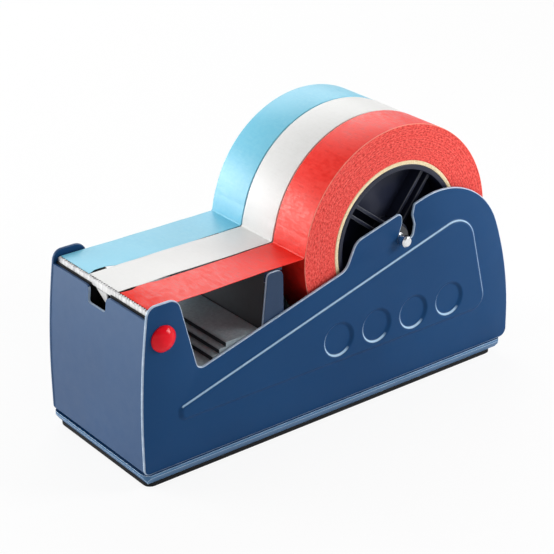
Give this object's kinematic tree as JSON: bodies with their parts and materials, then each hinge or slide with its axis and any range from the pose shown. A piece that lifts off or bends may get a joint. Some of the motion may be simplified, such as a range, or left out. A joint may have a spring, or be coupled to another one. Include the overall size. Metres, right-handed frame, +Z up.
{
  "type": "multi-roll tape dispenser",
  "caption": "Bench tape dispenser of pressed sheet steel: spoked hubs carry tape rolls side by side on a lift-out axle, and the tapes run over a bridge to a toothed blade.",
  "frame": {"origin": "centre of the footprint at the bench surface, under the anti-slip pad", "axes": "+X to the side of the red tape, along the axle; +Y from the blade to the rear; +Z up"},
  "size_m": [0.093, 0.2346, 0.145],
  "materials": {
    "blue_paint": "satin",
    "pad_rubber": "matt",
    "steel": "brushed",
    "ballast_iron": "dull",
    "black_plastic": "matt",
    "red_plastic": "glossy",
    "nylon": "satin",
    "hub_plastic": "satin",
    "core_board": "matt",
    "blue_tape": "satin",
    "white_tape": "satin",
    "red_tape": "satin"
  },
  "bodies": {
    "chassis": {"base_plate": "blue_paint", "anti_slip_pad": "pad_rubber", "left_side_plate": "blue_paint", "right_side_plate": "blue_paint", "front_panel": "blue_paint", "rear_panel": "blue_paint", "tab_screws": "steel", "ballast_block": "ballast_iron", "ballast_bolts": "steel", "tape_bridge": "blue_paint", "blade_carrier": "black_plastic", "cutting_blade": "steel", "blade_rivets": "steel", "tie_rod": "steel", "tie_nuts": "steel", "left_cap": "red_plastic", "right_cap": "red_plastic"},
    "axle_set": {"axle": "steel", "end_spacers": "nylon", "hub_washers": "nylon", "blue_tape_tail": "blue_tape", "white_tape_tail": "white_tape", "red_tape_tail": "red_tape"},
    "blue_roll": {"left_hub": "hub_plastic", "left_hub_rim": "hub_plastic", "left_hub_ribs": "hub_plastic", "left_core": "core_board", "blue_tape_roll": "blue_tape"},
    "white_roll": {"middle_hub": "hub_plastic", "middle_hub_rim": "hub_plastic", "middle_hub_ribs": "hub_plastic", "middle_core": "core_board", "white_tape_roll": "white_tape"},
    "red_roll": {"right_hub": "hub_plastic", "right_hub_rim": "hub_plastic", "right_hub_ribs": "hub_plastic", "right_core": "core_board", "red_tape_roll": "red_tape"}
  },
  "joints": [
    {"name": "axle_lift", "type": "slide", "parent": "chassis", "child": "axle_set", "axis": [0, 0.3256, 0.9455], "range_m": [0, 0.1]},
    {"name": "blue_turn", "type": "hinge", "parent": "axle_set", "child": "blue_roll", "pos_m": [-0.0257, 0.04075, 0.086], "axis": [1, 0, 0], "continuous": true},
    {"name": "white_turn", "type": "hinge", "parent": "axle_set", "child": "white_roll", "pos_m": [0, 0.04075, 0.086], "axis": [1, 0, 0], "continuous": true},
    {"name": "red_turn", "type": "hinge", "parent": "axle_set", "child": "red_roll", "pos_m": [0.0257, 0.04075, 0.086], "axis": [1, 0, 0], "continuous": true}
  ]
}
